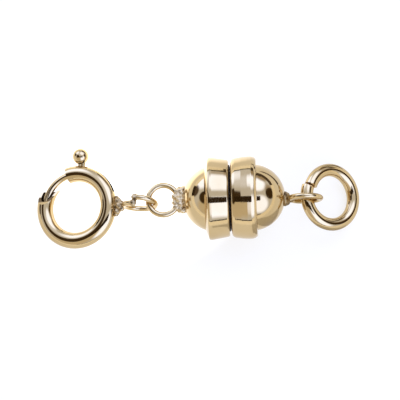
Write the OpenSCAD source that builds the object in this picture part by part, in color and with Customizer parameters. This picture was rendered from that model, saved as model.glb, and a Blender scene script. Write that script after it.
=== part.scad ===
// Magnetic barrel clasp of a necklace, with a spring ring hooked into one end and a jump ring in the other.
// It lies on a flat surface at z = 0, with X along the barrel, Y across it and Z up, in millimetres.

/* [Barrel] */
// Metal round each magnet where the bands are fullest
band_wall = 0.56; // [0.46:0.02:1]
// Metal round each magnet at the lip beside the seam
lip_cover = 0.24; // [0.16:0.02:0.3]
// Open seam between the two lips
seam = 0.2; // [0.12:0.02:0.4]
// Radius of both domes, less than the magnets' by
dome_inset = 0.12; // [0:0.02:0.2]
// Wall of the domes
cup_wall = 0.28; // [0.15:0.01:0.4]
// Wall of the lip that holds the magnet in
lip_wall = 0.32; // [0.28:0.01:0.38]
// Length of the lip along the barrel
lip_len = 0.3; // [0.2:0.05:0.4]
// Step between a band's foot and its dome
foot_step = 0.05; // [0.03:0.01:0.12]

/* [Left half] */
// Length of the left band from its lip to the foot of its dome
left_band_len = 2; // [1.96:0.02:2.6]
// Height of the left dome above the foot
left_dome_h = 1.9; // [1.6:0.05:2.2]
// Outer radius of the left eye
left_eye_r = 1.48; // [1.4:0.02:1.7]
// Distance that the left eye is soldered off the axis
left_eye_side = -0.02; // [-0.3:0.02:0.3]
// Half width of the left solder, across the eye
left_solder_w = 1.02; // [0.8:0.02:1.2]
// Half thickness of the left solder
left_solder_t = 0.42; // [0.3:0.02:0.5]

/* [Right half] */
// Length of the right band from its lip to the foot of its dome
right_band_len = 2.14; // [2.02:0.02:2.6]
// Height of the right dome above the foot
right_dome_h = 2.32; // [2:0.02:2.6]
// Outer radius of the right eye
right_eye_r = 1.52; // [1.46:0.02:1.8]
// Distance that the right eye is soldered off the axis
right_eye_side = -0.2; // [-0.3:0.02:0.3]
// Radius of the right solder at the dome
right_solder_r = 0.6; // [0.45:0.02:0.8]

/* [Eyes] */
// Radius of the wire of both eyes
eye_wire_r = 0.24; // [0.18:0.01:0.26]
// Space between a dome's tip and its eye, filled with solder
eye_standoff = 0.13; // [0.05:0.01:0.25]
// Radius of the beads that the solder sets in
solder_bead_r = 0.36; // [0.3:0.01:0.42]

/* [Magnets] */
// Radius of a magnet behind the lip
magnet_r = 2.9; // [2.8:0.02:3.1]
// Length of a magnet from its face to its back
magnet_len = 1.76; // [1.4:0.02:1.8]
// Space between the two magnet faces
face_gap = 0.06; // [0.04:0.01:0.1]
// Space between a magnet and its cup
magnet_gap = 0.04; // [0.03:0.01:0.06]

/* [Spring ring] */
// Radius of the spring ring at the middle of its tube
ring_r = 2.84; // [2.7:0.02:3.4]
// Outer radius of the tube
tube_r = 0.68; // [0.62:0.01:0.76]
// Wall of the tube
tube_wall = 0.2; // [0.12:0.01:0.22]
// Angle where the tube's upper end is cut, from +X
upper_end = 108; // [102:1:110]
// Angle where the tube's lower end is cut, from +X
lower_end = 150; // [146:1:158]
// Turn of the lower cut away from a straight one
lower_cut_turn = 35; // [10:1:45]
// Length of the opening scooped out of the top of the lower end
scoop_len = 1.2; // [0.8:0.05:1.5]
// Turn of the spring ring with its tag, seen from above
ring_turn = -3.5; // [-6:0.5:6]

/* [Trigger] */
// Radius of the bolt wire
bolt_r = 0.28; // [0.25:0.01:0.3]
// Angle of the bolt's tip inside the lower end, from +X
bolt_tip = 168; // [164:1:174]
// Angle of the trigger, from +X
trigger_at = 88; // [84:1:90]
// Length of bolt behind the trigger
bolt_tail = 0.5; // [0.35:0.05:1]
// Radius of the trigger's ball
ball_r = 0.68; // [0.5:0.02:0.9]
// Space between the ball and the tube
ball_gap = 0.11; // [0.06:0.01:0.3]
// Radius of each pin of the trigger's neck
neck_r = 0.17; // [0.12:0.01:0.2]
// Space between the middles of the neck's two pins
neck_space = 0.29; // [0.18:0.01:0.32]
// Swing of the trigger from closed to open
trigger_swing = 57; // [40:1:58]
// Space between the neck and the slot that it runs in
slot_gap = 0.06; // [0.04:0.01:0.08]

/* [Tag loop] */
// Outer radius of the tag loop
tag_r = 1.56; // [1.46:0.02:1.8]
// Radius of the tag's wire
tag_wire_r = 0.235; // [0.18:0.005:0.25]
// Space between the tube and the tag, filled with solder
tag_standoff = 0.54; // [0.3:0.02:0.6]
// Half width of the solder on the tube
tag_solder_w = 0.8; // [0.5:0.02:0.9]
// Half thickness of the solder on the tube
tag_solder_t = 0.3; // [0.26:0.02:0.34]
// Distance that the tag lies off the barrel's axis
tag_side = -0.4; // [-0.5:0.02:0.3]
// Lean of the tag away from upright
tag_lean = 1; // [0:1:6]
// Angle that the tag is left open, sideways
tag_open = 10.5; // [4:0.5:15]
// Place of the tag's cut, back from its top
tag_cut = 1; // [0:1:20]
// Angle between the tag's two ends, round the loop
tag_gap = 5; // [2:1:8]
// Place on the tag's inside where it hangs on the eye, forward from its top
tag_hang = 80; // [40:1:85]

/* [Jump ring] */
// Radius of the jump ring at the middle of its wire
jump_r = 2.28; // [2.1:0.02:2.6]
// Radius of the jump ring's wire
jump_wire_r = 0.53; // [0.4:0.01:0.55]
// Angle of the jump ring's cut, from +X
jump_cut = 159; // [150:1:162]
// Width of the jump ring's cut
jump_cut_w = 0.07; // [0.04:0.01:0.15]
// Angle that the jump ring is left open, sideways
jump_open = 5; // [2:0.5:7]
// Place where the jump ring rests in the eye, outwards from its lowest point
jump_hang = 20; // [0:1:40]
// Distance that the jump ring lies off the barrel's axis
jump_side = 0.1; // [-0.3:0.02:0.3]

/* [Links] */
// Space left between two links where one rests on the other
link_gap = 0.07; // [0.05:0.01:0.1]

/* [Hidden] */
$fn = 96;
// Sides of a round wire's section
WIRE_SIDES = 60;
// More than any radius or length here, for cutting
FAR = 12;
// An opened ring's wire is this much fuller where it is bent, over this angle each way
BEND_SWELL = 1.03;
BEND_TURN = 1;

// Bands from the lip to the foot of the dome: rise from lip to full radius, share of the length
LEFT_BAND = [[0, 0], [0.26, 0.05], [0.42, 0.18], [0.97, 0.7], [1, 0.78], [0.94, 0.86]];
RIGHT_BAND = [[0, 0], [0.35, 0.04], [0.6, 0.14], [0.88, 0.4], [1, 0.64], [0.97, 0.8], [0.72, 0.91], [0.3, 0.98]];
// Beads of solder on the tube: share of the way to the tag, share of the half width, radius as a share
TAG_BEADS = [[0.3, 0.55, 0.85], [0.25, -0.6, 0.8], [0.7, 0.1, 1.25]];

// The halves are as wide as their magnets need
band_r = magnet_r + band_wall;
lip_r = magnet_r + lip_cover;
dome_r = magnet_r - dome_inset;

axis_z = band_r;
lip_at = seam / 2;
lip_end = lip_at + lip_len;
magnet_at = face_gap / 2;
magnet_end = magnet_at + magnet_len;
opening_r = lip_r - lip_wall;
bore_r = tube_r - tube_wall;

// Places along the barrel, counted from the middle of the seam
left_foot = lip_at + left_band_len;
right_foot = lip_at + right_band_len;
left_tip = left_foot + left_dome_h;
right_tip = right_foot + right_dome_h;
left_eye_at = left_tip + eye_standoff + left_eye_r;
right_eye_at = right_tip + eye_standoff + right_eye_r;

// The tag hangs on the far side of the left eye, and the tube's far edge rests on the surface
tag_mid_r = tag_r - tag_wire_r;
tag_drop = tag_mid_r * (1 + cos(tag_hang)) * (1 - cos(tag_open + tag_lean)) * cos(tag_hang);
tag_slack = tag_mid_r - tag_wire_r - eye_wire_r - link_gap - tag_drop;
tag_x = eye_wire_r - left_eye_at - left_eye_r - tag_slack * sin(tag_hang);
tag_z = axis_z - tag_slack * cos(tag_hang);
tag_reach = ring_r + tube_r + tag_standoff + tag_r;
ring_tilt = asin((tag_z - tube_r) / (ring_r + tag_reach));
ring_x = tag_x - tag_reach * cos(ring_tilt) * cos(ring_turn);
ring_y = tag_side - tag_reach * cos(ring_tilt) * sin(ring_turn);
ring_z = tube_r + ring_r * sin(ring_tilt);

// The jump ring hangs in the right eye, and its far edge rests on the surface
jump_slack = right_eye_r - 2 * eye_wire_r - jump_wire_r - link_gap;
jump_left_x = right_eye_at + jump_slack * sin(jump_hang);
jump_left_z = axis_z - jump_slack * cos(jump_hang);
jump_tilt = asin((jump_left_z - jump_wire_r) / (2 * jump_r));
jump_x = jump_left_x + jump_r * cos(jump_tilt);
jump_z = jump_wire_r + jump_r * sin(jump_tilt);
jump_gap_turn = jump_cut_w / jump_r * 180 / PI;

// Trigger
ball_at = ring_r + tube_r + ball_gap + ball_r;
tail_turn = bolt_tail / ring_r * 180 / PI;
slot_from = trigger_at - trigger_swing - asin((neck_space + neck_r + slot_gap) / ring_r);
slot_to = trigger_at + asin((neck_r + slot_gap) / ring_r);

// Middle of the whole, so that the origin lies under it
ring_reach = ring_r * sqrt(1 - pow(sin(ring_tilt) * cos(ring_turn), 2));
ball_side = sin(trigger_at) * cos(ring_turn) + cos(trigger_at) * cos(ring_tilt) * sin(ring_turn);
low_x = ring_x - ring_reach - tube_r;
high_x = jump_x + jump_r * cos(jump_tilt) + jump_wire_r;
low_y = min(ring_y - ring_r - tube_r, -band_r);
high_y = max(ring_y + ball_at * ball_side + ball_r, band_r);
mid_x = (low_x + high_x) / 2;
mid_y = (low_y + high_y) / 2;

// Moves a piece that is drawn about the middle of the seam to its place over the origin
module in_place() {
    translate([-mid_x, -mid_y, 0])
        children();
}

// Lays down a half that is drawn upwards from the seam: side -1 points left and 1 right
module half(side) {
    in_place()
        translate([0, 0, axis_z])
            rotate([0, 90 * side, 0])
                children();
}

module at_spring_ring() {
    in_place()
        translate([ring_x, ring_y, ring_z])
            rotate([0, -ring_tilt, ring_turn])
                children();
}

module at_jump_ring() {
    in_place()
        translate([jump_x, jump_side, jump_z])
            rotate([0, jump_tilt, 0])
                children();
}

// Part of a ring of round wire, about Z
module wire_arc(mid_radius, wire_radius, from = 0, sweep = 360) {
    rotate([0, 0, from])
        rotate_extrude(angle = sweep)
            translate([mid_radius, 0])
                circle(wire_radius, $fn = WIRE_SIDES);
}

// Cut ring of wire, whose second half is turned sideways about the point opposite the cut
module open_ring(mid_radius, wire_radius, cut_at, gap, turn) {
    half_turn = 180 - BEND_TURN - gap / 2;
    wire_arc(mid_radius, wire_radius, cut_at + gap / 2, half_turn);
    rotate([0, 0, cut_at - 180])
        translate([mid_radius, 0, 0]) {
            sphere(wire_radius * BEND_SWELL);
            rotate([0, turn, 0])
                translate([-mid_radius, 0, 0])
                    wire_arc(mid_radius, wire_radius, BEND_TURN, half_turn);
        }
}

// Half of a round section below its outline, from the foot upwards
module dome_section(radius, middle, from) {
    intersection() {
        translate([0, middle])
            circle(radius);
        translate([0, from])
            square(FAR);
    }
}

// Hollow half of the barrel, drawn upwards from the seam
module cup(band, band_len, dome_h) {
    foot = lip_at + band_len;
    dome_at = foot + dome_h - dome_r;
    foot_r = sqrt(dome_r * dome_r - (dome_r - dome_h) * (dome_r - dome_h)) + foot_step;
    pocket_end = magnet_end + magnet_gap;
    outline = [for (row = band) [lip_r + row[0] * (band_r - lip_r), lip_at + row[1] * band_len]];
    rotate_extrude()
        difference() {
            union() {
                polygon(concat([[0, lip_at]], outline, [[foot_r, foot], [0, foot]]));
                dome_section(dome_r, dome_at, foot - cup_wall);
            }
            square([opening_r, lip_end + cup_wall]);
            translate([0, lip_end])
                square([magnet_r + magnet_gap, pocket_end - lip_end]);
            dome_section(dome_r - cup_wall, dome_at, pocket_end - cup_wall);
        }
}

// Disc magnet with a shoulder behind the lip, drawn upwards from the seam
module magnet() {
    color("dimgray")
        union() {
            translate([0, 0, magnet_at])
                cylinder(h = lip_end - magnet_at + 2 * magnet_gap, r = opening_r - magnet_gap);
            translate([0, 0, lip_end + magnet_gap])
                cylinder(h = magnet_end - lip_end - magnet_gap, r = magnet_r);
        }
}

// Flat fillet of solder with beads, between the left dome and its eye
module left_solder() {
    sunk = 2 * solder_bead_r;
    translate([0, left_eye_side, left_tip - sunk / 2])
        intersection() {
            cylinder(h = sunk + eye_standoff, r1 = left_solder_w + eye_standoff, r2 = left_solder_w);
            cube([2 * left_solder_t, FAR, FAR], center = true);
        }
    for (place = [-1:1])
        translate([0, left_eye_side + place * (left_solder_w - solder_bead_r), left_tip + sunk / 2])
            sphere(solder_bead_r);
}

// Small cone of solder with one bead, between the right dome and its eye
module right_solder() {
    translate([0, right_eye_side, right_tip - solder_bead_r])
        cylinder(h = 2 * solder_bead_r + eye_standoff, r1 = right_solder_r, r2 = eye_wire_r + eye_standoff);
    translate([0, right_eye_side + solder_bead_r / 2, right_tip + eye_standoff / 2])
        sphere(solder_bead_r);
}

// Tube of the spring ring with the tag's solder, hollow and open at both ends
module tube() {
    difference() {
        union() {
            wire_arc(ring_r, tube_r);
            tag_solder();
        }
        wire_arc(ring_r, bore_r);
        mouth_gap();
        lower_scoop();
        trigger_slot();
    }
}

// Moves to the middle of the tube at its lower end, with X along the cut and Y into the gap
module at_lower_cut() {
    rotate([0, 0, lower_end])
        translate([ring_r, 0, 0])
            rotate([0, 0, lower_cut_turn - 180])
                children();
}

// Gap of the ring, with a straight cut at its upper end and a turned one at its lower end
module mouth_gap() {
    upper = [cos(upper_end), sin(upper_end)];
    lower = [cos(lower_end), sin(lower_end)];
    along = [cos(lower_end + lower_cut_turn), sin(lower_end + lower_cut_turn)];
    linear_extrude(4 * tube_r, center = true)
        polygon([
            upper * (ring_r - 2 * tube_r),
            upper * (ring_r + 2 * tube_r),
            (upper + lower) * (ring_r + 2 * tube_r) / 1.6,
            lower * ring_r + along * 2 * tube_r,
            lower * ring_r - along * 2 * tube_r
        ]);
}

// Opening in the top of the lower end, sloping down to the cut, so that the bolt's tip shows
module lower_scoop() {
    at_lower_cut()
        rotate([90, 0, 90])
            linear_extrude(4 * tube_r, center = true)
                polygon([
                    [tube_r, 0],
                    [0, 0],
                    [-scoop_len, tube_r],
                    [-scoop_len, 2 * tube_r],
                    [tube_r, 2 * tube_r]
                ]);
}

// Slot in the outside of the tube, where the trigger's neck runs
module trigger_slot() {
    rotate([0, 0, slot_from])
        rotate_extrude(angle = slot_to - slot_from)
            translate([ring_r, -neck_r - slot_gap])
                square([2 * tube_r, 2 * (neck_r + slot_gap)]);
}

// Solder between the tube and the tag: a flat cone from inside the tube, and beads
module tag_solder() {
    reach = tube_r + tag_standoff + 1.3 * tag_wire_r;
    translate([ring_r, 0, 0]) {
        intersection() {
            rotate([0, 90, 0])
                cylinder(h = reach, r1 = tag_solder_w + tube_r / 2, r2 = 1.5 * tag_wire_r);
            cube([FAR, FAR, 2 * tag_solder_t], center = true);
        }
        for (bead = TAG_BEADS)
            translate([tube_r + bead[0] * tag_standoff, bead[1] * tag_solder_w, 0])
                sphere(bead[2] * tag_solder_t);
    }
}

module spring_ring() {
    color("goldenrod")
        at_spring_ring() {
            tube();
            translate([tag_reach, 0, 0])
                rotate([90 - tag_lean, 0, 0])
                    open_ring(tag_mid_r, tag_wire_r, 90 + tag_cut, tag_gap, -tag_open);
        }
}

module trigger_bolt() {
    color("gold")
        at_spring_ring() {
            wire_arc(ring_r, bolt_r, trigger_at - tail_turn, bolt_tip - trigger_at + tail_turn);
            rotate([0, 0, bolt_tip])
                translate([ring_r, 0, 0])
                    rotate([-90, 0, 0])
                        cylinder(h = 2 * bolt_r, r1 = bolt_r * 0.9, r2 = bolt_r * 0.5, center = true);
            rotate([0, 0, trigger_at]) {
                for (pin = [0, -neck_space])
                    translate([ring_r, pin, 0])
                        rotate([0, 90, 0])
                            cylinder(h = ball_at - ring_r, r = neck_r);
                translate([ball_at, 0, 0])
                    sphere(ball_r);
            }
        }
}

module left_cup() {
    color("goldenrod")
        half(-1) {
            cup(LEFT_BAND, left_band_len, left_dome_h);
            left_solder();
            translate([0, left_eye_side, left_eye_at])
                rotate([0, 90, 0])
                    wire_arc(left_eye_r - eye_wire_r, eye_wire_r);
        }
}

module left_magnet() {
    half(-1)
        magnet();
}

module right_cup() {
    color("goldenrod")
        half(1) {
            cup(RIGHT_BAND, right_band_len, right_dome_h);
            right_solder();
            translate([0, right_eye_side, right_eye_at])
                rotate([90, 0, 0])
                    wire_arc(right_eye_r - eye_wire_r, eye_wire_r);
        }
}

module right_magnet() {
    half(1)
        magnet();
}

module jump_ring() {
    color("darkgoldenrod")
        at_jump_ring()
            open_ring(jump_r, jump_wire_r, jump_cut, jump_gap_turn, jump_open);
}

spring_ring();
trigger_bolt();
left_cup();
left_magnet();
right_cup();
right_magnet();
jump_ring();
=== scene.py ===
from math import asin, ceil, cos, degrees, pi, radians, sin, sqrt

import bmesh
import bpy
from mathutils import Matrix, Vector, noise


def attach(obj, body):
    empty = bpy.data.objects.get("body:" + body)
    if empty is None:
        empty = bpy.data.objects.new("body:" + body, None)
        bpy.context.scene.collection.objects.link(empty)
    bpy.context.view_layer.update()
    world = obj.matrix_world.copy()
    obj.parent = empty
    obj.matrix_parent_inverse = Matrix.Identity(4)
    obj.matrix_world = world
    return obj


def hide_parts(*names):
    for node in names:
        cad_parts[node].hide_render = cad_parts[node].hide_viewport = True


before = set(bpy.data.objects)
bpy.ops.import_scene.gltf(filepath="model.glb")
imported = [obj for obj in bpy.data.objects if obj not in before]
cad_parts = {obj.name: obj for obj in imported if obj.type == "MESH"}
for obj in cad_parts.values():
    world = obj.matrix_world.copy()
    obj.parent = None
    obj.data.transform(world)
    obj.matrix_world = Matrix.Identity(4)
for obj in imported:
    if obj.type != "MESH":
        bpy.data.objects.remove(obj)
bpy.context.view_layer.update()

# Sizes in millimetres and degrees, as the solids have them

# Magnets, and the gap between their faces and round them
MAGNET_R, MAGNET_LEN, FACE_GAP, MAGNET_GAP = 2.9, 1.76, 0.06, 0.04

# Cups: radii, the seam between them, their walls and lips
BAND_R, LIP_R, DOME_R = MAGNET_R + 0.56, MAGNET_R + 0.24, MAGNET_R - 0.12
SEAM, CUP_WALL, LIP_WALL, LIP_LEN, FOOT_STEP = 0.2, 0.28, 0.32, 0.3, 0.05
LEFT_BAND_LEN, LEFT_DOME_H = 2.0, 1.9
RIGHT_BAND_LEN, RIGHT_DOME_H = 2.14, 2.32

# Bands: share of the rise from lip to full radius, share of the band's length
LEFT_BAND = ((0, 0), (0.26, 0.05), (0.42, 0.18), (0.97, 0.7), (1, 0.78), (0.94, 0.86))
RIGHT_BAND = ((0, 0), (0.35, 0.04), (0.6, 0.14), (0.88, 0.4), (1, 0.64), (0.97, 0.8), (0.72, 0.91),
              (0.3, 0.98))

# Rounding of the corners, in the same order as the bands' points
LEFT_ROUNDING = (0.05, 0.2, 0.3, 0.35, 0.12, 0.1)
RIGHT_ROUNDING = (0.05, 0.2, 0.5, 0.9, 0.5, 0.25, 0.2, 0.1)
FOOT_EDGE, LIP_EDGE, MAGNET_EDGE = 0.05, 0.04, 0.05

# Eyes of the two halves
EYE_WIRE_R, EYE_STANDOFF = 0.24, 0.13
LEFT_EYE_R, LEFT_EYE_SIDE = 1.48, -0.02
RIGHT_EYE_R, RIGHT_EYE_SIDE = 1.52, -0.2

# Spring ring: its tube, the two ends of its gap and the scoop at the lower one
RING_R, TUBE_R, TUBE_WALL, UPPER_END, LOWER_END = 2.84, 0.68, 0.2, 108, 150
LOWER_CUT_TURN, SCOOP_LEN, RING_TURN = 35, 1.2, -3.5

# Bolt and trigger
BOLT_R, BOLT_TIP, TRIGGER_AT, BOLT_TAIL = 0.28, 168, 88, 0.5
BALL_R, BALL_GAP, NECK_R, NECK_SPACE, TRIGGER_SWING, SLOT_GAP = 0.68, 0.11, 0.17, 0.29, 57, 0.06

# Tag loop, and where beads of solder sit on its wire, as shares of its length
TAG_R, TAG_WIRE_R, TAG_STANDOFF = 1.56, 0.235, 0.54
TAG_SIDE, TAG_LEAN, TAG_OPEN, TAG_CUT, TAG_GAP, TAG_HANG = -0.4, 1, 10.5, 1, 5, 80
TAG_BEADS_AT = (0.0, 1.0)

# Jump ring, and the space that hanging links keep
JUMP_R, JUMP_WIRE_R, JUMP_HANG, JUMP_SIDE = 2.28, 0.53, 20, 0.1
JUMP_CUT, JUMP_CUT_W, JUMP_OPEN = 159, 0.07, 5
LINK_GAP = 0.07

# Barrel and eyes, measured out from the middle of the seam
axis_z = BAND_R
left_tip = SEAM / 2 + LEFT_BAND_LEN + LEFT_DOME_H
right_tip = SEAM / 2 + RIGHT_BAND_LEN + RIGHT_DOME_H
left_eye_at = left_tip + EYE_STANDOFF + LEFT_EYE_R
right_eye_at = right_tip + EYE_STANDOFF + RIGHT_EYE_R

# The tag hangs in the left eye, and the spring ring leans from it down to the surface
tag_mid_r = TAG_R - TAG_WIRE_R
hang = radians(TAG_HANG)
tag_drop = tag_mid_r * (1 + cos(hang)) * (1 - cos(radians(TAG_OPEN + TAG_LEAN))) * cos(hang)
tag_slack = tag_mid_r - TAG_WIRE_R - EYE_WIRE_R - LINK_GAP - tag_drop
tag_x = EYE_WIRE_R - left_eye_at - LEFT_EYE_R - tag_slack * sin(hang)
tag_z = axis_z - tag_slack * cos(hang)
tag_reach = RING_R + TUBE_R + TAG_STANDOFF + TAG_R
ring_tilt = asin((tag_z - TUBE_R) / (RING_R + tag_reach))
turned_ring = radians(RING_TURN)
ring_x = tag_x - tag_reach * cos(ring_tilt) * cos(turned_ring)
ring_y = TAG_SIDE - tag_reach * cos(ring_tilt) * sin(turned_ring)
ring_z = TUBE_R + RING_R * sin(ring_tilt)

# The jump ring hangs in the right eye and leans down to the surface
jump_slack = RIGHT_EYE_R - 2 * EYE_WIRE_R - JUMP_WIRE_R - LINK_GAP
jump_tilt = asin((axis_z - jump_slack * cos(radians(JUMP_HANG)) - JUMP_WIRE_R) / (2 * JUMP_R))
jump_x = right_eye_at + jump_slack * sin(radians(JUMP_HANG)) + JUMP_R * cos(jump_tilt)
jump_z = JUMP_WIRE_R + JUMP_R * sin(jump_tilt)

# Ball, and the slot that its neck runs in
ball_at = RING_R + TUBE_R + BALL_GAP + BALL_R
slot_from = TRIGGER_AT - TRIGGER_SWING - degrees(asin((NECK_SPACE + NECK_R + SLOT_GAP) / RING_R))
slot_to = TRIGGER_AT + degrees(asin((NECK_R + SLOT_GAP) / RING_R))

# Middle of the whole clasp's box, which the frame's origin lies under
ring_reach = RING_R * sqrt(1 - (sin(ring_tilt) * cos(turned_ring)) ** 2)
trigger_turn = radians(TRIGGER_AT)
ball_side = sin(trigger_turn) * cos(turned_ring) + cos(trigger_turn) * cos(ring_tilt) * sin(turned_ring)
mid_x = (ring_x - ring_reach - TUBE_R + jump_x + JUMP_R * cos(jump_tilt) + JUMP_WIRE_R) / 2
mid_y = (min(ring_y - RING_R - TUBE_R, -BAND_R) + max(ring_y + ball_at * ball_side + BALL_R, BAND_R)) / 2


# Places of the parts

def shift(x=0.0, y=0.0, z=0.0):
    return Matrix.Translation((x, y, z))


def turn(x=0.0, y=0.0, z=0.0):
    return (Matrix.Rotation(radians(z), 4, "Z") @ Matrix.Rotation(radians(y), 4, "Y")
            @ Matrix.Rotation(radians(x), 4, "X"))


over_origin = shift(-mid_x, -mid_y)
left_half = over_origin @ shift(z=axis_z) @ turn(y=-90)
right_half = over_origin @ shift(z=axis_z) @ turn(y=90)
spring_ring = over_origin @ shift(ring_x, ring_y, ring_z) @ turn(y=-degrees(ring_tilt), z=RING_TURN)
jump_ring = over_origin @ shift(jump_x, JUMP_SIDE, jump_z) @ turn(y=degrees(jump_tilt))
tag_loop = spring_ring @ shift(tag_reach) @ turn(x=90 - TAG_LEAN)


# Shader maths

class Signal:
    """A socket of a node tree. Sums and products of it add Math nodes."""

    def __init__(self, tree, socket):
        self.tree, self.socket = tree, socket

    @staticmethod
    def add(tree, kind, settings=None, inputs=None, out=0):
        """Adds any node: its settings first, then the values or links of its sockets."""
        node = tree.nodes.new(kind)
        for name, value in (settings or {}).items():
            setattr(node, name, value)
        for name, value in (inputs or {}).items():
            if isinstance(value, Signal):
                tree.links.new(value.socket, node.inputs[name])
            else:
                node.inputs[name].default_value = value
        return Signal(tree, node.outputs[out]) if node.outputs else node

    def maths(self, operation, *items, clamp=False):
        return Signal.add(self.tree, "ShaderNodeMath", {"operation": operation, "use_clamp": clamp},
                          dict(enumerate(items)))

    def __add__(self, other):
        return self.maths("ADD", self, other)

    def __radd__(self, other):
        return self.maths("ADD", other, self)

    def __sub__(self, other):
        return self.maths("SUBTRACT", self, other)

    def __mul__(self, other):
        return self.maths("MULTIPLY", self, other)

    def step(self, low, high):
        """0 below low, 1 above high and a straight rise between."""
        return self.maths("MULTIPLY", self - low, 1 / (high - low), clamp=True)


def new_material(name):
    material = bpy.data.materials.new(name)
    material.use_nodes = True
    material.node_tree.nodes.clear()
    return material, material.node_tree


def close_material(tree, shader):
    output = tree.nodes.new("ShaderNodeOutputMaterial")
    tree.links.new(shader.socket, output.inputs["Surface"])


def close_metal(tree, colour, roughness, height):
    """Bare metal of that colour and roughness, raised by the height in metres."""
    bump = Signal.add(tree, "ShaderNodeBump", inputs={"Height": height, "Distance": 1.0, "Strength": 1.0})
    shader = Signal.add(tree, "ShaderNodeBsdfPrincipled", inputs={
        "Base Color": colour, "Metallic": 1.0, "Roughness": roughness, "Normal": bump})
    close_material(tree, shader)


def noise_of(tree, where, scale, detail, stretch=None, roughness=0.5):
    """Noise with that many lumps to a metre, which may be stretched along an axis."""
    if stretch:
        where = Signal.add(tree, "ShaderNodeMapping", inputs={"Vector": where, "Scale": stretch})
    return Signal.add(tree, "ShaderNodeTexNoise", {"noise_dimensions": "3D"},
                      {"Vector": where, "Scale": scale, "Detail": detail, "Roughness": roughness}, out=0)


def mix_colours(tree, share, first, second):
    """The first colour where the share is 0 and the second where it is 1."""
    settings = {"data_type": "RGBA", "clamp_factor": True}
    mixed = Signal.add(tree, "ShaderNodeMix", settings, {0: share}, out=2)
    node = mixed.socket.node
    for socket, colour in ((node.inputs[6], first), (node.inputs[7], second)):
        if isinstance(colour, Signal):
            tree.links.new(colour.socket, socket)
        else:
            socket.default_value = (*colour, 1)
    return mixed


PALE_GOLD = (0.61, 0.455, 0.235)
DEEP_GOLD = (0.55, 0.395, 0.185)
FRESH_SOLDER = (0.76, 0.60, 0.34)
OLD_SOLDER = (0.36, 0.24, 0.10)
BURNT_SOLDER = (0.10, 0.06, 0.025)
# The last colour is painted shade: the dark of the seam between the halves, laid on the magnets' rims.
BRIGHT_NICKEL, DULL_NICKEL, PAINTED_SEAM_SHADE = (0.33, 0.31, 0.29), (0.22, 0.205, 0.19), (0.06, 0.042, 0.024)
BROWN_BORE, STAINED_BORE = (0.20, 0.13, 0.055), (0.09, 0.055, 0.022)

# Roughness of the polished plate, and what its duller patches and hairline marks add
POLISH, DULL_PATCHES, HAIRLINE_MARKS = 0.07, 0.07, 0.04

# Depths in metres
HAIRLINE_DEPTH, GROUND_RING_DEPTH, STAIN_DEPTH = 0.0000004, 0.0000008, 0.00001

# Ground rings of the magnets, as radians of their wave to a metre. Painted shade of the seam begins at the
# first distance in from a magnet's rim and is full from the second one outwards, in millimetres.
GROUND_RINGS, SEAM_SHADE_FROM, SEAM_SHADE_FULL = 42000, 0.4, 0.12

# Faces of the tube this near to its bore are bare metal, in millimetres
BARE_SKIN = 0.02


def polished_gold(name, wave, wave_scale, along=(1, 1, 1)):
    """Polished plate: a soft drift of tone, buffing waves, hairline marks and duller patches."""
    material, tree = new_material(name)
    where = Signal.add(tree, "ShaderNodeTexCoord", out=3)
    drift = noise_of(tree, where, 320, 3)
    waves = noise_of(tree, where, wave_scale, 1)
    hairs = noise_of(tree, where, 2600, 3, stretch=along, roughness=0.7)
    dull = noise_of(tree, where, 1500, 4, roughness=0.65).step(0.5, 0.72)
    colour = mix_colours(tree, drift.step(0.35, 0.7), PALE_GOLD, DEEP_GOLD)
    roughness = POLISH + dull * DULL_PATCHES + hairs.step(0.55, 0.8) * HAIRLINE_MARKS
    close_metal(tree, colour, roughness, waves * wave + hairs * HAIRLINE_DEPTH)
    return material


def satin_solder(name, bright, dim, pit, depth=0.00004, gloss=0.2):
    """Solder as it set: grainy, duller than the plate and darker in its pits."""
    material, tree = new_material(name)
    where = Signal.add(tree, "ShaderNodeTexCoord", out=3)
    lumps = noise_of(tree, where, 2400, 4, roughness=0.6)
    grain = noise_of(tree, where, 9000, 3)
    pits = lumps.step(0.52, 0.34)
    colour = mix_colours(tree, pits, mix_colours(tree, grain.step(0.35, 0.7), bright, dim), pit)
    close_metal(tree, colour, gloss + lumps * 0.25, lumps * depth + grain * (depth * 0.12))
    return material


def nickel_plate():
    """Plated disc magnet: grey and a little cloudy, ground in rings, and darker and rougher at its rim with
    painted shade of the seam between the halves.
    """
    material, tree = new_material("nickel plate")
    where = Signal.add(tree, "ShaderNodeTexCoord", out=3)
    flat = Signal.add(tree, "ShaderNodeMapping", inputs={"Vector": where, "Scale": (0, 1, 1)})
    from_axis = Signal.add(tree, "ShaderNodeVectorMath", {"operation": "DISTANCE"},
                           {0: flat, 1: (0, -mid_y * 0.001, axis_z * 0.001)}, out=1)
    cloud = noise_of(tree, where, 900, 4)
    rings = (from_axis * GROUND_RINGS + cloud * 6).maths("SINE")
    # Painted shade: the magnet turns darker and rougher towards its rim, where the seam between the halves
    # is.
    seam_shade = (from_axis + cloud * 0.0003).step((MAGNET_R - SEAM_SHADE_FROM) * 0.001, (MAGNET_R - SEAM_SHADE_FULL) * 0.001)
    plate = mix_colours(tree, cloud.step(0.35, 0.7), BRIGHT_NICKEL, DULL_NICKEL)
    colour = mix_colours(tree, seam_shade, plate, PAINTED_SEAM_SHADE)
    close_metal(tree, colour, 0.2 + cloud * 0.15 + seam_shade * 0.2, rings * GROUND_RING_DEPTH)
    return material


def unpolished_bore():
    """Inside of the tube, where no buff reaches: brown, matt and stained."""
    material, tree = new_material("unpolished bore")
    where = Signal.add(tree, "ShaderNodeTexCoord", out=3)
    stain = noise_of(tree, where, 1800, 4)
    colour = mix_colours(tree, stain.step(0.35, 0.7), BROWN_BORE, STAINED_BORE)
    close_metal(tree, colour, 0.4 + stain * 0.2, stain * STAIN_DEPTH)
    return material


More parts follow.
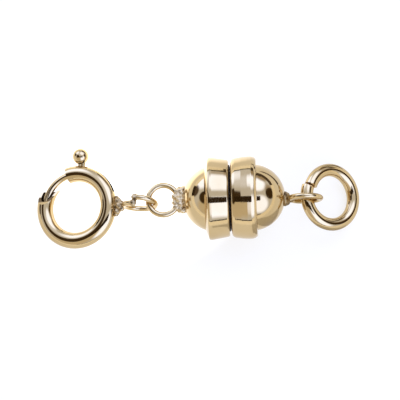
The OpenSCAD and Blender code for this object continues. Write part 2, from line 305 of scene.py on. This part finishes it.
tube_gold = polished_gold("spring ring gold", wave=0.000006, wave_scale=600)
cup_gold = polished_gold("barrel gold", wave=0.000014, wave_scale=420, along=(0.25, 1, 1))
wire_gold = polished_gold("wire gold", wave=0.000005, wave_scale=900)
fresh_solder = satin_solder("fresh solder", FRESH_SOLDER, PALE_GOLD, DEEP_GOLD, gloss=0.3)
solder_gold = satin_solder("satin solder", PALE_GOLD, OLD_SOLDER, BURNT_SOLDER)
burnt_solder = satin_solder("burnt solder", OLD_SOLDER, OLD_SOLDER, BURNT_SOLDER, gloss=0.22)
magnet_nickel = nickel_plate()
bare_bore = unpolished_bore()


# Wires that follow a path

def wire_tree():
    """Sweeps a round section along a path of points, which may swell or taper it."""
    tree = bpy.data.node_groups.new("wire along a path", "GeometryNodeTree")
    kinds = {"Path": "Geometry", "Wire Radius": "Float", "Section Sides": "Int", "Finish": "Material"}
    for name, kind in kinds.items():
        tree.interface.new_socket(name, in_out="INPUT", socket_type="NodeSocket" + kind)
    tree.interface.new_socket("Wire", in_out="OUTPUT", socket_type="NodeSocketGeometry")
    given = tree.nodes.new("NodeGroupInput")
    path, radius, sides, finish = (Signal(tree, given.outputs[i]) for i in range(4))
    swell = Signal.add(tree, "GeometryNodeInputNamedAttribute", {"data_type": "FLOAT"}, {"Name": "swell"})
    line = Signal.add(tree, "GeometryNodeMeshToCurve", inputs={"Mesh": path})
    line = Signal.add(tree, "GeometryNodeSetCurveRadius", inputs={"Curve": line, "Radius": swell})
    section = Signal.add(tree, "GeometryNodeCurvePrimitiveCircle", {"mode": "RADIUS"},
                         {"Resolution": sides, "Radius": radius})
    swept = Signal.add(tree, "GeometryNodeCurveToMesh",
                       inputs={"Curve": line, "Profile Curve": section, "Fill Caps": True})
    smooth = Signal.add(tree, "GeometryNodeSetShadeSmooth", inputs={"Geometry": swept})
    real = Signal.add(tree, "GeometryNodeRealizeInstances", inputs={"Geometry": smooth})
    done = Signal.add(tree, "GeometryNodeSetMaterial", inputs={"Geometry": real, "Material": finish})
    Signal.add(tree, "NodeGroupOutput", inputs={0: done})
    return tree


WIRE_TREE = wire_tree()


def plain_mesh(host):
    """The finished mesh of an object with live modifiers; the object itself goes."""
    bpy.context.view_layer.update()
    depsgraph = bpy.context.evaluated_depsgraph_get()
    mesh = bpy.data.meshes.new_from_object(host.evaluated_get(depsgraph), depsgraph=depsgraph)
    bpy.data.objects.remove(host)
    return mesh


def host_of(mesh, name="work"):
    host = bpy.data.objects.new(name, mesh)
    bpy.context.scene.collection.objects.link(host)
    return host


# Points nearer than this to each other are one point, and points this near to the axis are on it
SAME_POINT, ON_AXIS = 1e-5, 1e-9


def clean(mesh, crease=40):
    """Merges doubles, turns faces outwards and keeps edges sharper than the crease angle."""
    shape = bmesh.new()
    shape.from_mesh(mesh)
    bmesh.ops.remove_doubles(shape, verts=shape.verts, dist=SAME_POINT)
    bmesh.ops.recalc_face_normals(shape, faces=shape.faces)
    shape.to_mesh(mesh)
    shape.free()
    mesh.shade_smooth()
    mesh.set_sharp_from_angle(angle=radians(crease))
    return mesh


def swept_wire(point_at, length, wire_radius, finish, closed=False, edge=0.06, taper=None, sides=64,
               pitch=0.05):
    """Wire whose middle line is point_at(distance). An open end has its rim rounded by edge."""
    if closed:
        count = ceil(length / pitch)
        stations = [(length * i / count, 1.0) for i in range(count)]
    else:
        turns = [radians(a) for a in range(0, 90, 15)]
        rim = [(edge * (1 - cos(a)), 1 - edge / wire_radius * (1 - sin(a))) for a in turns]
        count = ceil((length - 2 * edge) / pitch)
        middle = [(edge + (length - 2 * edge) * i / count, 1.0) for i in range(count + 1)]
        stations = rim + middle + [(length - d, s) for d, s in reversed(rim)]
    mesh = bpy.data.meshes.new("path")
    ends = [(i, i + 1) for i in range(len(stations) - 1)] + ([(len(stations) - 1, 0)] if closed else [])
    mesh.from_pydata([point_at(d) for d, s in stations], ends, [])
    swell = mesh.attributes.new("swell", "FLOAT", "POINT")
    swell.data.foreach_set("value", [s * (taper(d) if taper else 1.0) for d, s in stations])
    host = host_of(mesh)
    modifier = host.modifiers.new("wire", "NODES")
    modifier.node_group = WIRE_TREE
    items = WIRE_TREE.interface.items_tree
    sockets = {item.name: item.identifier for item in items if item.in_out == "INPUT"}
    modifier[sockets["Wire Radius"]] = wire_radius
    modifier[sockets["Section Sides"]] = sides
    modifier[sockets["Finish"]] = finish
    return clean(plain_mesh(host))


def ring_line(radius, start=0.0):
    """Middle line of a ring about Z, by the distance along it from the start angle."""
    def point_at(d):
        angle = radians(start) + d / radius
        return Vector((radius * cos(angle), radius * sin(angle), 0))
    return point_at


def round_wire(middle_r, wire_r):
    """Closed ring of wire, as the eyes are."""
    return swept_wire(ring_line(middle_r), 2 * pi * middle_r, wire_r, wire_gold, closed=True)


def opened_ring_line(radius, cut_at, gap, sideways, bend=9.0):
    """Middle line of a cut ring whose second half is turned sideways, bent softly opposite the cut."""
    def point_at(d):
        angle = cut_at + gap / 2 + degrees(d / radius)
        share = min(max((angle - cut_at - 180 + bend) / (2 * bend), 0), 1)
        lean = sideways * share * share * (3 - 2 * share)
        flat = Vector((radius * cos(radians(angle)), radius * sin(radians(angle)), 0))
        pivot = turn(z=cut_at - 180) @ shift(radius)
        return (pivot @ turn(y=lean) @ pivot.inverted()) @ flat
    return point_at, radians(360 - gap) * radius


# Turned and cut shapes

def mesh_of(points, faces):
    mesh = bpy.data.meshes.new("shape")
    mesh.from_pydata(points, [], faces)
    return clean(mesh)


def turned_shape(outline, start=0.0, sweep=360.0, steps=288):
    """A closed outline of (radius, height) points turned about Z."""
    whole, n = sweep >= 360, len(outline)
    columns = steps if whole else steps + 1
    points, faces = [], []
    for c in range(columns):
        a = radians(start + sweep * c / steps)
        points += [(r * cos(a), r * sin(a), h) for r, h in outline]
    for c in range(steps):
        here, there = c * n, (c + 1) % columns * n
        for k in range(n):
            m = (k + 1) % n
            if outline[k][0] > ON_AXIS or outline[m][0] > ON_AXIS:
                faces.append((here + k, here + m, there + m, there + k))
    if not whole:
        faces += [tuple(range(n)), tuple(range((columns - 1) * n, columns * n))]
    return mesh_of(points, faces)


def prism(outline, low, high):
    """A closed outline of (x, y) points raised from low to high."""
    n = len(outline)
    points = [(x, y, low) for x, y in outline] + [(x, y, high) for x, y in outline]
    faces = [tuple(range(n)), tuple(range(n, 2 * n))]
    faces += [(k, (k + 1) % n, n + (k + 1) % n, n + k) for k in range(n)]
    return mesh_of(points, faces)


# Steps that a rounded corner is drawn in
CORNER_STEPS = 6


def rounded(outline, radii):
    """Rounds the corners of a closed outline, each by its own radius."""
    result, n = [], len(outline)
    for k, (corner, radius) in enumerate(zip(outline, radii)):
        corner = Vector(corner)
        back, on = Vector(outline[k - 1]) - corner, Vector(outline[(k + 1) % n]) - corner
        angle = back.angle(on, pi)
        if radius <= 0 or angle > radians(179):
            result.append(tuple(corner))
            continue
        reach = min(radius / (sin(angle / 2) / cos(angle / 2)), 0.48 * back.length, 0.48 * on.length)
        first, last = corner + back.normalized() * reach, corner + on.normalized() * reach
        for i in range(CORNER_STEPS + 1):
            t = i / CORNER_STEPS
            result.append(tuple(first * (1 - t) ** 2 + corner * 2 * t * (1 - t) + last * t * t))
    return result


def carved(mesh, cutters):
    """The mesh with each cutter taken out of it."""
    host = host_of(mesh)
    tools = []
    for cutter in cutters:
        tool = host_of(cutter, "cutter")
        tools.append(tool)
        modifier = host.modifiers.new("cut", "BOOLEAN")
        modifier.operation, modifier.solver, modifier.object = "DIFFERENCE", "EXACT", tool
    result = plain_mesh(host)
    for tool in tools:
        bpy.data.objects.remove(tool)
    return clean(result, crease=35)


def moved(mesh, place):
    mesh.transform(place)
    return mesh


def joined(*meshes):
    whole = bmesh.new()
    for mesh in meshes:
        whole.from_mesh(mesh)
    result = bpy.data.meshes.new("joined")
    whole.to_mesh(result)
    whole.free()
    return result


def ball(radius, place=Matrix.Identity(4)):
    shape = bmesh.new()
    bmesh.ops.create_uvsphere(shape, u_segments=96, v_segments=64, radius=radius)
    mesh = bpy.data.meshes.new("ball")
    shape.to_mesh(mesh)
    shape.free()
    mesh.transform(place)
    mesh.shade_smooth()
    return mesh


def solder_lump(parts, voxel=0.03, lumps=0.05, seed=0.0):
    """Solder run together: the parts made one skin, smoothed and left a little lumpy."""
    host = host_of(joined(*parts))
    remesh = host.modifiers.new("skin", "REMESH")
    remesh.mode, remesh.voxel_size = "VOXEL", voxel
    smooth = host.modifiers.new("flow", "SMOOTH")
    smooth.factor, smooth.iterations = 0.5, 8
    mesh = plain_mesh(host)
    # Lumps of about 0.4 mm, with finer ones of half their height on them
    for vertex, normal in [(v, v.normal.copy()) for v in mesh.vertices]:
        spot = vertex.co * 2.6 + Vector((seed, 0, 0))
        vertex.co += normal * lumps * (noise.noise(spot) + 0.5 * noise.noise(spot * 2.3))
    mesh.shade_smooth()
    return mesh


def piece(name, mesh, place, finish, body, slot, *nodes):
    """A visible piece: set in its place, in metres, riding on its body and dressing its nodes."""
    mesh.transform(Matrix.Scale(0.001, 4) @ place)
    if finish:
        mesh.materials.clear()
        mesh.materials.append(finish)
    mesh.name = name
    made = host_of(mesh, name)
    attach(made, body)
    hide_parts(*nodes)
    return made


# The barrel's halves

def dome_line(radius, middle, first, steps):
    """Outline of a dome from the height first to its top, as (radius, height) points."""
    start = asin((first - middle) / radius)
    turns = [start + (pi / 2 - start) * i / steps for i in range(steps)]
    return [(radius * cos(a), middle + radius * sin(a)) for a in turns] + [(0.0, middle + radius)]


def cup_outline(band, band_len, dome_h, radii):
    """Outline of a hollow cup: from its lip over band and dome, then back down inside to the lip."""
    lip_at, lip_end = SEAM / 2, SEAM / 2 + LIP_LEN
    foot = lip_at + band_len
    dome_at = foot + dome_h - DOME_R
    dome_foot_r = sqrt(DOME_R ** 2 - (DOME_R - dome_h) ** 2)
    pocket_end = FACE_GAP / 2 + MAGNET_LEN + MAGNET_GAP
    pocket_r, lip_hole_r = MAGNET_R + MAGNET_GAP, LIP_R - LIP_WALL
    corners = [(LIP_R + rise * (BAND_R - LIP_R), lip_at + along * band_len) for rise, along in band]
    corners += [(dome_foot_r + FOOT_STEP, foot), (dome_foot_r, foot), (lip_hole_r, lip_at)]
    # The last corner only closes the outline while the first is rounded, and comes again at the end
    outer = rounded(corners, [*radii, FOOT_EDGE, 0, LIP_EDGE])[:-CORNER_STEPS - 1]
    outer += dome_line(DOME_R, dome_at, foot, 60)[1:]
    inner = dome_line(DOME_R - CUP_WALL, dome_at, pocket_end, 24)[::-1]
    inner += [(pocket_r, pocket_end), (pocket_r, lip_end), (lip_hole_r, lip_end), (lip_hole_r, lip_at)]
    return outer + inner


def magnet_outline():
    lip_end, face, back = SEAM / 2 + LIP_LEN, FACE_GAP / 2, FACE_GAP / 2 + MAGNET_LEN
    neck, ledge = LIP_R - LIP_WALL - MAGNET_GAP, lip_end + MAGNET_GAP
    corners = [(0, face), (neck, face), (neck, ledge), (MAGNET_R, ledge), (MAGNET_R, back), (0, back)]
    return rounded(corners, [0, MAGNET_EDGE, 0, MAGNET_EDGE, MAGNET_EDGE, 0])


piece("left_shell", turned_shape(cup_outline(LEFT_BAND, LEFT_BAND_LEN, LEFT_DOME_H, LEFT_ROUNDING)),
      left_half, cup_gold, "left_half", "gold", "left_cup")
piece("right_shell", turned_shape(cup_outline(RIGHT_BAND, RIGHT_BAND_LEN, RIGHT_DOME_H, RIGHT_ROUNDING)),
      right_half, cup_gold, "right_half", "gold", "right_cup")
piece("left_disc_magnet", turned_shape(magnet_outline(), steps=192), left_half, magnet_nickel,
      "left_half", "magnet", "left_magnet")
piece("right_disc_magnet", turned_shape(magnet_outline(), steps=192), right_half, magnet_nickel,
      "right_half", "magnet", "right_magnet")

piece("left_eye", round_wire(LEFT_EYE_R - EYE_WIRE_R, EYE_WIRE_R),
      left_half @ shift(0, LEFT_EYE_SIDE, left_eye_at) @ turn(y=90), wire_gold,
      "left_half", "gold", "left_cup")
piece("right_eye", round_wire(RIGHT_EYE_R - EYE_WIRE_R, EYE_WIRE_R),
      right_half @ shift(0, RIGHT_EYE_SIDE, right_eye_at) @ turn(x=90), wire_gold,
      "right_half", "gold", "right_cup")

# Beads of solder: place across the eye, place along the barrel, radius, height off the eye's plane
LEFT_BEADS = ((-0.82, 0.2, 0.3, 0.05), (0.8, 0.18, 0.31, 0.03), (-0.62, 0.52, 0.27, 0.08),
              (-0.2, 0.64, 0.26, 0.1), (0.24, 0.66, 0.25, 0.07), (0.64, 0.5, 0.28, 0.05),
              (-0.4, 0.12, 0.34, 0.1), (0.1, 0.1, 0.36, 0.12), (0.5, 0.06, 0.32, 0.08),
              (-0.95, -0.04, 0.24, 0), (0.95, -0.06, 0.24, 0), (0.0, 0.34, 0.3, 0.2))
RIGHT_BEADS = ((0.2, 0.08, 0.36, 0.1), (-0.22, 0.14, 0.32, 0.1), (0, 0.3, 0.33, 0.12),
               (0.05, 0.42, 0.27, -0.1), (-0.05, 0.5, 0.26, 0.12))


def core(place, *widths):
    """Middle of a solder lump: a ball stretched to these widths along X, Y and Z."""
    return moved(ball(0.5), place @ Matrix.Diagonal((*widths, 1)))


def beads(spots, side, tip):
    return [ball(size, shift(lift, side + across, tip + along)) for across, along, size, lift in spots]


lump_parts = [core(shift(0, LEFT_EYE_SIDE, left_tip + 0.3), 0.74, 1.75, 0.95)]
lump_parts += beads(LEFT_BEADS, LEFT_EYE_SIDE, left_tip)
piece("left_eye_solder", solder_lump(lump_parts, lumps=0.07, seed=3.1), left_half, fresh_solder,
      "left_half", "gold", "left_cup")

lump_parts = [core(shift(0, RIGHT_EYE_SIDE, right_tip), 1.15, 1.25, 0.62)]
lump_parts += beads(RIGHT_BEADS, RIGHT_EYE_SIDE, right_tip)
piece("right_eye_solder", solder_lump(lump_parts, seed=7.4), right_half, burnt_solder,
      "right_half", "gold", "right_cup")


# Spring ring, tag loop and jump ring

def flat_on(angle, radius):
    return Vector((radius * cos(radians(angle)), radius * sin(radians(angle))))


def mouth_gap():
    """Gap of the ring, with a straight cut at its upper end and a turned one at its lower end."""
    along = flat_on(LOWER_END + LOWER_CUT_TURN, 1)
    upper, lower = flat_on(UPPER_END, 1), flat_on(LOWER_END, 1)
    corners = [upper * (RING_R - 2 * TUBE_R), upper * (RING_R + 2 * TUBE_R),
               (upper + lower) * (RING_R + 2 * TUBE_R) / 1.6,
               lower * RING_R + along * 2 * TUBE_R, lower * RING_R - along * 2 * TUBE_R]
    return prism(corners, -2 * TUBE_R, 2 * TUBE_R)


def lower_scoop():
    """Opening in the top of the lower end, sloping down to the cut, so that the bolt's tip shows."""
    slope = [(TUBE_R, 0), (0, 0), (-SCOOP_LEN * 0.4, TUBE_R * 0.3), (-SCOOP_LEN * 0.8, TUBE_R * 0.72),
             (-SCOOP_LEN, TUBE_R), (-SCOOP_LEN, 2 * TUBE_R), (TUBE_R, 2 * TUBE_R)]
    to_cut = turn(z=LOWER_END) @ shift(RING_R) @ turn(z=LOWER_CUT_TURN - 180)
    return moved(prism(slope, -2 * TUBE_R, 2 * TUBE_R), to_cut @ turn(x=90, z=90))


def trigger_slot():
    """Slot in the outside of the tube, where the trigger's neck runs."""
    half, outside = NECK_R + SLOT_GAP, RING_R + 2 * TUBE_R
    section = [(RING_R, -half), (outside, -half), (outside, half), (RING_R, half)]
    return turned_shape(section, slot_from, slot_to - slot_from, steps=48)


def spring_tube():
    """Hollow tube bent to a ring and cut open, with bare metal wherever its bore shows."""
    around, bore_r = 2 * pi * RING_R, TUBE_R - TUBE_WALL
    # Both sweeps start at 200 degrees, away from the cuts
    middle = ring_line(RING_R, 200)
    tube = swept_wire(middle, around, TUBE_R, tube_gold, closed=True, sides=72, pitch=0.07)
    bore = swept_wire(middle, around, bore_r, tube_gold, closed=True, sides=48, pitch=0.09)
    tube = carved(tube, [bore, mouth_gap(), lower_scoop(), trigger_slot()])
    tube.materials.clear()
    tube.materials.append(tube_gold)
    tube.materials.append(bare_bore)
    for face in tube.polygons:
        aside = Vector((face.center.xy.length - RING_R, face.center.z))
        face.material_index = int(aside.length < bore_r + BARE_SKIN)
    return tube


piece("ring_tube", spring_tube(), spring_ring, None, "left_half", "gold", "spring_ring")

point_at, length = opened_ring_line(tag_mid_r, 90 + TAG_CUT, TAG_GAP, -TAG_OPEN)
piece("tag_wire", swept_wire(point_at, length, TAG_WIRE_R, wire_gold), tag_loop, wire_gold,
      "left_half", "gold", "spring_ring")

# Beads of the tag's solder: distance out from the tube, place across, radius, height
TAG_BEADS = ((0.2, 0.42, 0.3, 0.1), (0.16, -0.46, 0.28, 0.08), (TAG_STANDOFF - 0.05, 0.16, 0.3, 0.1),
             (TAG_STANDOFF, -0.2, 0.25, 0.08), (0.3, 0.0, 0.32, 0.14), (0.05, 0.7, 0.2, 0.05),
             (0.05, -0.72, 0.2, 0.03))

lump_parts = [core(shift(TUBE_R + 0.1), 0.95, 1.5, 0.62),
              core(shift(TUBE_R + TAG_STANDOFF - 0.12), 0.768, 0.64, 0.608)]
lump_parts += [ball(size, shift(TUBE_R + out, across, lift)) for out, across, size, lift in TAG_BEADS]
from_tube = shift(-RING_R) @ spring_ring.inverted() @ tag_loop
lump_parts += [ball(0.3, from_tube @ Matrix.Translation(point_at(spot * length))) for spot in TAG_BEADS_AT]
tag_lump = solder_lump(lump_parts, voxel=0.025, lumps=0.06, seed=1.7)
piece("tag_solder", moved(tag_lump, shift(RING_R)), spring_ring, solder_gold,
      "left_half", "gold", "spring_ring")


def bolt_wire():
    """Bolt from its tail inside the tube to its tip, which narrows over its last stretch."""
    tail = degrees(BOLT_TAIL / RING_R)
    length = radians(BOLT_TIP - TRIGGER_AT + tail) * RING_R + BOLT_R
    taper_from = length - 2 * BOLT_R
    return swept_wire(ring_line(RING_R, TRIGGER_AT - tail), length, BOLT_R, wire_gold,
                      taper=lambda d: 1 - 0.4 * max(0, (d - taper_from) / (2 * BOLT_R)) ** 2)


def neck_pin(aside):
    """Straight pin from the bolt out into the ball, at that distance along the ring."""
    return swept_wire(lambda d: Vector((RING_R + d, aside, 0)), ball_at - RING_R, NECK_R, wire_gold,
                      sides=48)


at_trigger = spring_ring @ turn(z=TRIGGER_AT)
for name, mesh, place in (
        ("bolt_wire", bolt_wire(), spring_ring),
        ("neck_pin", neck_pin(0), at_trigger),
        ("second_neck_pin", neck_pin(-NECK_SPACE), at_trigger),
        ("trigger_ball", ball(BALL_R), at_trigger @ shift(ball_at))):
    piece(name, mesh, place, wire_gold, "trigger", "gold", "trigger_bolt")

point_at, length = opened_ring_line(JUMP_R, JUMP_CUT, degrees(JUMP_CUT_W / JUMP_R), JUMP_OPEN)
piece("thick_jump_ring", swept_wire(point_at, length, JUMP_WIRE_R, wire_gold, sides=80), jump_ring,
      wire_gold, "right_half", "gold", "jump_ring")


# Studio: pale sweep, tent light, dark cards

def plain_surface(name, colour):
    """Matt card of that colour."""
    material, tree = new_material(name)
    shader = Signal.add(tree, "ShaderNodeBsdfPrincipled", inputs={
        "Base Color": (*colour, 1), "Roughness": 0.9, "Specular IOR Level": 0.0})
    close_material(tree, shader)
    return material


def stage_piece(name, mesh, finish, seen=True):
    """Part of the studio. Unless it is seen, it shows only in the metal's reflections."""
    mesh.materials.append(finish)
    made = host_of(mesh, name)
    if not seen:
        made.visible_camera = made.visible_diffuse = made.visible_shadow = False
    return made


def sweep_mesh(radius=0.9, rise=0.18, bend=0.07, steps=96):
    """Round table that bends up into a low wall, as (radius, height) points turned about Z."""
    outline = [(0.0, 0.0), (0.02, 0.0), (0.1, 0.0), (0.4, 0.0)]
    turns = [radians(a) for a in range(0, 91, 15)]
    outline += [(radius - bend + bend * sin(a), bend - bend * cos(a)) for a in turns]
    outline += [(radius, rise)]
    points, faces = [], []
    for c in range(steps):
        a = 2 * pi * c / steps
        points += [(r * cos(a), r * sin(a), h) for r, h in outline]
    n = len(outline)
    for c in range(steps):
        here, there = c * n, (c + 1) % steps * n
        faces += [(here + k, there + k, there + k + 1, here + k + 1) for k in range(n - 1)]
    mesh = bpy.data.meshes.new("sweep")
    mesh.from_pydata(points, [], faces)
    # The points in the middle become one
    shape = bmesh.new()
    shape.from_mesh(mesh)
    bmesh.ops.remove_doubles(shape, verts=shape.verts, dist=1e-6)
    shape.to_mesh(mesh)
    shape.free()
    mesh.shade_smooth()
    return mesh


def hoop_mesh(radius, low, high, start, stop, steps=96):
    """Upright strip on a circle about Z, between two heights and two azimuths."""
    points = []
    for c in range(steps + 1):
        a = radians(start + (stop - start) * c / steps)
        points += [(radius * cos(a), radius * sin(a), low), (radius * cos(a), radius * sin(a), high)]
    faces = [(2 * c, 2 * c + 2, 2 * c + 3, 2 * c + 1) for c in range(steps)]
    mesh = bpy.data.meshes.new("hoop")
    mesh.from_pydata(points, [], faces)
    return mesh


def card_mesh(direction, distance, width, height):
    """A flat card that faces the middle, width across and height up, seen in that direction."""
    direction = Vector(direction).normalized()
    frame_of = direction.to_track_quat("-Z", "Y").to_matrix().to_4x4()
    mesh = bpy.data.meshes.new("card")
    w, h = width / 2, height / 2
    mesh.from_pydata([(-w, -h, 0), (w, -h, 0), (w, h, 0), (-w, h, 0)], [], [(0, 1, 2, 3)])
    mesh.transform(Matrix.Translation(direction * distance) @ frame_of)
    return mesh


def toward(azimuth, polar):
    """Direction by its azimuth from +X and its angle down from straight up."""
    around, down = radians(azimuth), radians(polar)
    return Vector((sin(down) * cos(around), sin(down) * sin(around), cos(down)))


def light_table():
    """Pale sheet lit from below, brighter behind the barrel's left end."""
    material, tree = new_material("pale light table")
    where = Signal.add(tree, "ShaderNodeTexCoord", out=3)
    place = Signal.add(tree, "ShaderNodeVectorMath", {"operation": "DISTANCE"},
                       {0: where, 1: (-0.0055, 0.0065, 0.0)}, out=1)
    # Brightest within 2 mm of that place, down to the plain sheet at 13 mm, and a little up again far off
    glow = place.step(0.013, 0.002) * 1.4 + 0.74
    far = place.step(0.05, 0.6)
    hue = Signal.add(tree, "ShaderNodeCombineColor", {"mode": "RGB"},
                     {0: glow + far * 0.2, 1: glow + far * 0.2, 2: glow * 0.98 + far * 0.22})
    shader = Signal.add(tree, "ShaderNodeBsdfPrincipled", inputs={
        "Base Color": (0.28, 0.26, 0.22, 1), "Roughness": 0.9, "Specular IOR Level": 0.0,
        "Emission Color": hue, "Emission Strength": 1.0})
    close_material(tree, shader)
    return material


paper = light_table()
black_card = plain_surface("black card", (0.008, 0.006, 0.004))
brown_card = plain_surface("brown card", (0.10, 0.075, 0.05))
tan_card = plain_surface("tan card", (0.64, 0.55, 0.36))
lens_brown = plain_surface("lens brown", (0.035, 0.022, 0.01))

stage_piece("pale_sweep", sweep_mesh(), paper)

# Hoops in metres and degrees: radius, lower edge, upper edge, first azimuth, last azimuth
for name, hoop, finish in (
        ("dark_gap_behind", (0.89, 0.18, 0.23, 64, 116), black_card),
        ("dark_gap_in_front", (0.89, 0.18, 0.23, 244, 296), black_card),
        ("low_brown_card", (0.81, 0.018, 0.18, 30, 78), brown_card),
        ("low_dark_card", (0.81, 0.0, 0.18, 147, 173), lens_brown)):
    stage_piece(name, hoop_mesh(*hoop), finish, seen=False)
stage_piece("lens_card", card_mesh((0, -0.25, 0.97), 0.45, 0.55, 0.13), lens_brown, seen=False)

# Cards that lie on the table: their corners, and the height of their upper sides, in millimetres
CARD_TOP = 0.3
for name, corners, finish in (
        ("brown_card_behind", ((13, 4), (16.5, 5), (18, 30), (13, 30)), brown_card),
        ("tan_card_in_front", ((6.5, -60), (30, -60), (14, -3.5), (6.5, -3.5)), tan_card)):
    card = bpy.data.meshes.new(name)
    card.from_pydata([(x, y, CARD_TOP) for x, y in corners], [], [(0, 1, 2, 3)])
    stage_piece(name, moved(card, Matrix.Scale(0.001, 4)), finish, seen=False)

TENT_WHITE, WINDOW, TAN, BROWN = (0.83, 0.92, 1.24), (1.8, 2.25, 4.1), (0.80, 0.66, 0.35), (0.42, 0.31, 0.15)
DARK, LINE = (0.10, 0.07, 0.045), (0.07, 0.045, 0.02)

# Soft windows and shades of the tent, in degrees: azimuth, angle down from straight up, radius of the
# full patch, radius where it ends, then its share and its light. The last two draw the rings' dark lines.
PATCHES = (
    (60, 43, 19, 28, 1.0, WINDOW),
    (105, 38, 8, 22, 0.25, WINDOW),
    (128, 68, 14, 26, 1.0, WINDOW),
    (-50, 45, 24, 34, 1.0, WINDOW),
    (160, 78, 13, 18, 0.97, DARK),
    (20, 66, 8, 18, 0.7, BROWN),
    (62, 76, 9, 18, 0.8, BROWN),
    (-130, 48, 24, 40, 0.6, TAN),
    (186, 37, 19, 23, 1.0, LINE),
    (7, 67, 15, 18, 1.0, LINE))

world = bpy.context.scene.world or bpy.data.worlds.new("tent")
bpy.context.scene.world = world
world.use_nodes = True
tent_tree = world.node_tree
tent_tree.nodes.clear()
looking = Signal.add(tent_tree, "ShaderNodeTexCoord", out=0)


def patch(azimuth, polar, full, outer):
    """1 within the full radius about that direction and 0 past the outer one."""
    along = Signal.add(tent_tree, "ShaderNodeVectorMath", {"operation": "DOT_PRODUCT"},
                       {0: looking, 1: toward(azimuth, polar)}, out=1)
    return along.step(cos(radians(outer)), cos(radians(full)))


light = TENT_WHITE
for *where, share, colour in PATCHES:
    light = mix_colours(tent_tree, patch(*where) * share, light, colour)
tent = Signal.add(tent_tree, "ShaderNodeBackground", inputs={"Color": light, "Strength": 1.0})
Signal.add(tent_tree, "ShaderNodeOutputWorld", inputs={"Surface": tent})

bpy.context.scene.view_settings.view_transform = "Standard"
bpy.context.scene.view_settings.look = "None"


# Camera

elevation, lean, roll = radians(80), radians(2), radians(1.3)
forward = -Vector((sin(lean) * sin(elevation), -cos(elevation), cos(lean) * sin(elevation))).normalized()
right = forward.cross(Vector((0, 1, 0))).normalized()
up = right.cross(forward)
right, up = right * cos(roll) - up * sin(roll), right * sin(roll) + up * cos(roll)

# The picture's width in pixels, a pixel's width in metres, and the pixel where the barrel's seam is
PICTURE, PIXEL, SEAM_PIXEL = 400, 0.001 / 12, (230.5, 198)
seam_point = Vector((-mid_x, -mid_y, axis_z)) * 0.001
aside, above = PICTURE / 2 - SEAM_PIXEL[0], PICTURE / 2 - SEAM_PIXEL[1]
target = seam_point + right * aside * PIXEL - up * above * PIXEL
CAMERA_DISTANCE = 0.5
eye = target - forward * CAMERA_DISTANCE

camera_data = bpy.data.cameras.new("camera")
camera = bpy.data.objects.new("camera", camera_data)
bpy.context.scene.collection.objects.link(camera)
camera_data.sensor_width = 36
camera_data.lens = 36 * CAMERA_DISTANCE / (PICTURE * PIXEL)
camera_data.clip_start, camera_data.clip_end = 0.05, 20
camera.matrix_world = Matrix(((right.x, up.x, -forward.x, eye.x),
                              (right.y, up.y, -forward.y, eye.y),
                              (right.z, up.z, -forward.z, eye.z),
                              (0, 0, 0, 1)))
bpy.context.scene.camera = camera
